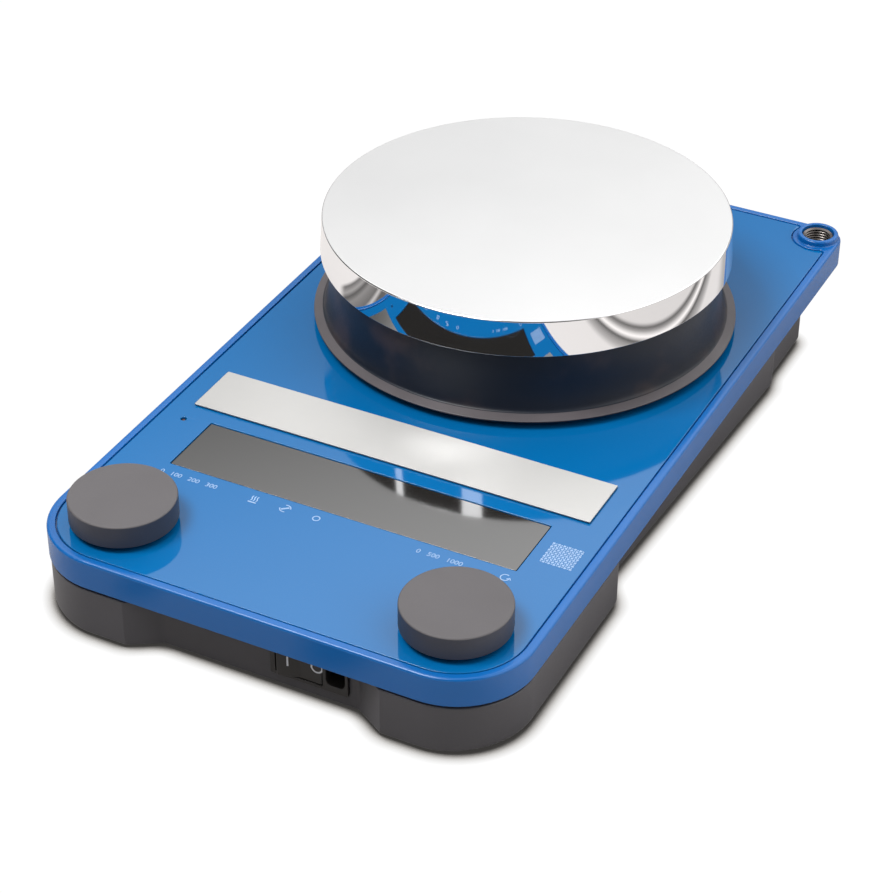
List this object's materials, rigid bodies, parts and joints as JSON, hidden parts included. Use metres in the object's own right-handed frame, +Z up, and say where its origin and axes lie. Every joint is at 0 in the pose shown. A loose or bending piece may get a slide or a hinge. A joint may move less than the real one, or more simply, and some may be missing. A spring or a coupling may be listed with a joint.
{
  "type": "hotplate stirrer",
  "caption": "Flat bench hotplate stirrer: blue cover, polished round plate on a dark shield, disc knobs, display window, dark housing with rocker switch, rod boss and magnet drive.",
  "frame": {"origin": "on the bench, under the middle of the plan of the cover", "axes": "+Z up; -Y to the front, with the knobs and the display; +X to the right"},
  "size_m": [0.16, 0.286, 0.0663],
  "materials": {
    "cover_paint": "satin enamel",
    "panel_gloss": "high gloss",
    "badge_steel": "fine brushed",
    "window_grey": "smooth",
    "lamp": "clear, unlit",
    "plate_steel": "polished edge, satin top",
    "plain_steel": "plain",
    "aluminium": "machined",
    "brass": "plain",
    "copper": "enamelled winding",
    "magnet": "nickel plated",
    "shield_black": "matt",
    "housing_grey": "fine textured",
    "knob_grey": "soft touch",
    "rubber": "matt",
    "black_plastic": "moulded",
    "board_green": "solder mask",
    "ceramic": null
  },
  "bodies": {
    "unit": {"top_cover": "cover_paint", "cover_panel": "panel_gloss", "badge_strip": "badge_steel", "display_window": "window_grey", "status_lamp": "lamp", "rod_socket": "plain_steel", "heating_plate": "plate_steel", "heat_shield": "shield_black", "shield_gasket": "rubber", "heater_ring": "aluminium", "insulation_disc": "ceramic", "plate_sensor": "plain_steel", "heater_retainer": "plain_steel", "plate_standoff_1": "ceramic", "plate_standoff_2": "ceramic", "plate_standoff_3": "ceramic", "motor_mount_plate": "plain_steel", "motor_case": "aluminium", "motor_stator": "copper", "lower_bearing": "plain_steel", "upper_bearing": "plain_steel", "lcd_module": "window_grey", "display_board": "board_green", "power_board": "board_green", "power_module": "black_plastic", "triac_heatsink": "aluminium", "temperature_encoder_body": "black_plastic", "speed_encoder_body": "black_plastic", "base_housing": "housing_grey", "rubber_foot_front_left": "rubber", "rubber_foot_front_right": "rubber", "rubber_foot_rear_left": "rubber", "rubber_foot_rear_right": "rubber", "housing_screw_front_left": "plain_steel", "housing_screw_front_right": "plain_steel", "housing_screw_rear_left": "plain_steel", "housing_screw_rear_right": "plain_steel", "switch_frame": "black_plastic", "rocker_pin": "plain_steel", "power_inlet": "black_plastic", "inlet_pin_line": "brass", "inlet_pin_earth": "brass", "inlet_pin_neutral": "brass", "fuse_holder": "black_plastic", "probe_socket": "plain_steel"},
    "temperature_plunger": {"temperature_encoder_plunger": "black_plastic"},
    "temperature_dial": {"temperature_knob": "knob_grey", "temperature_encoder_shaft": "plain_steel"},
    "speed_plunger": {"speed_encoder_plunger": "black_plastic"},
    "speed_dial": {"speed_knob": "knob_grey", "speed_encoder_shaft": "plain_steel"},
    "rocker": {"power_rocker": "black_plastic"},
    "magnet_drive": {"motor_shaft": "plain_steel", "motor_rotor": "magnet", "magnet_holder": "aluminium", "stir_magnet_1": "magnet", "stir_magnet_2": "magnet"}
  },
  "joints": [
    {"name": "temperature_push", "type": "slide", "parent": "unit", "child": "temperature_plunger", "axis": [0, 0, 1], "range_m": [-0.0005, 0], "stiffness_N_per_m": 1500, "springref_m": 0.0008},
    {"name": "temperature_turn", "type": "hinge", "parent": "temperature_plunger", "child": "temperature_dial", "pos_m": [-0.05575, -0.1199, 0.03], "axis": [0, 0, 1], "continuous": true},
    {"name": "speed_push", "type": "slide", "parent": "unit", "child": "speed_plunger", "axis": [0, 0, 1], "range_m": [-0.0005, 0], "stiffness_N_per_m": 1500, "springref_m": 0.0008},
    {"name": "speed_turn", "type": "hinge", "parent": "speed_plunger", "child": "speed_dial", "pos_m": [0.05575, -0.1199, 0.03], "axis": [0, 0, 1], "continuous": true},
    {"name": "power_tilt", "type": "hinge", "parent": "unit", "child": "rocker", "pos_m": [0.01391, -0.1346, 0.011], "axis": [0, 0, 1], "range_deg": [-16, 0]},
    {"name": "stirrer_spin", "type": "hinge", "parent": "unit", "child": "magnet_drive", "pos_m": [0, 0.0425, 0.03], "axis": [0, 0, 1], "continuous": true}
  ]
}
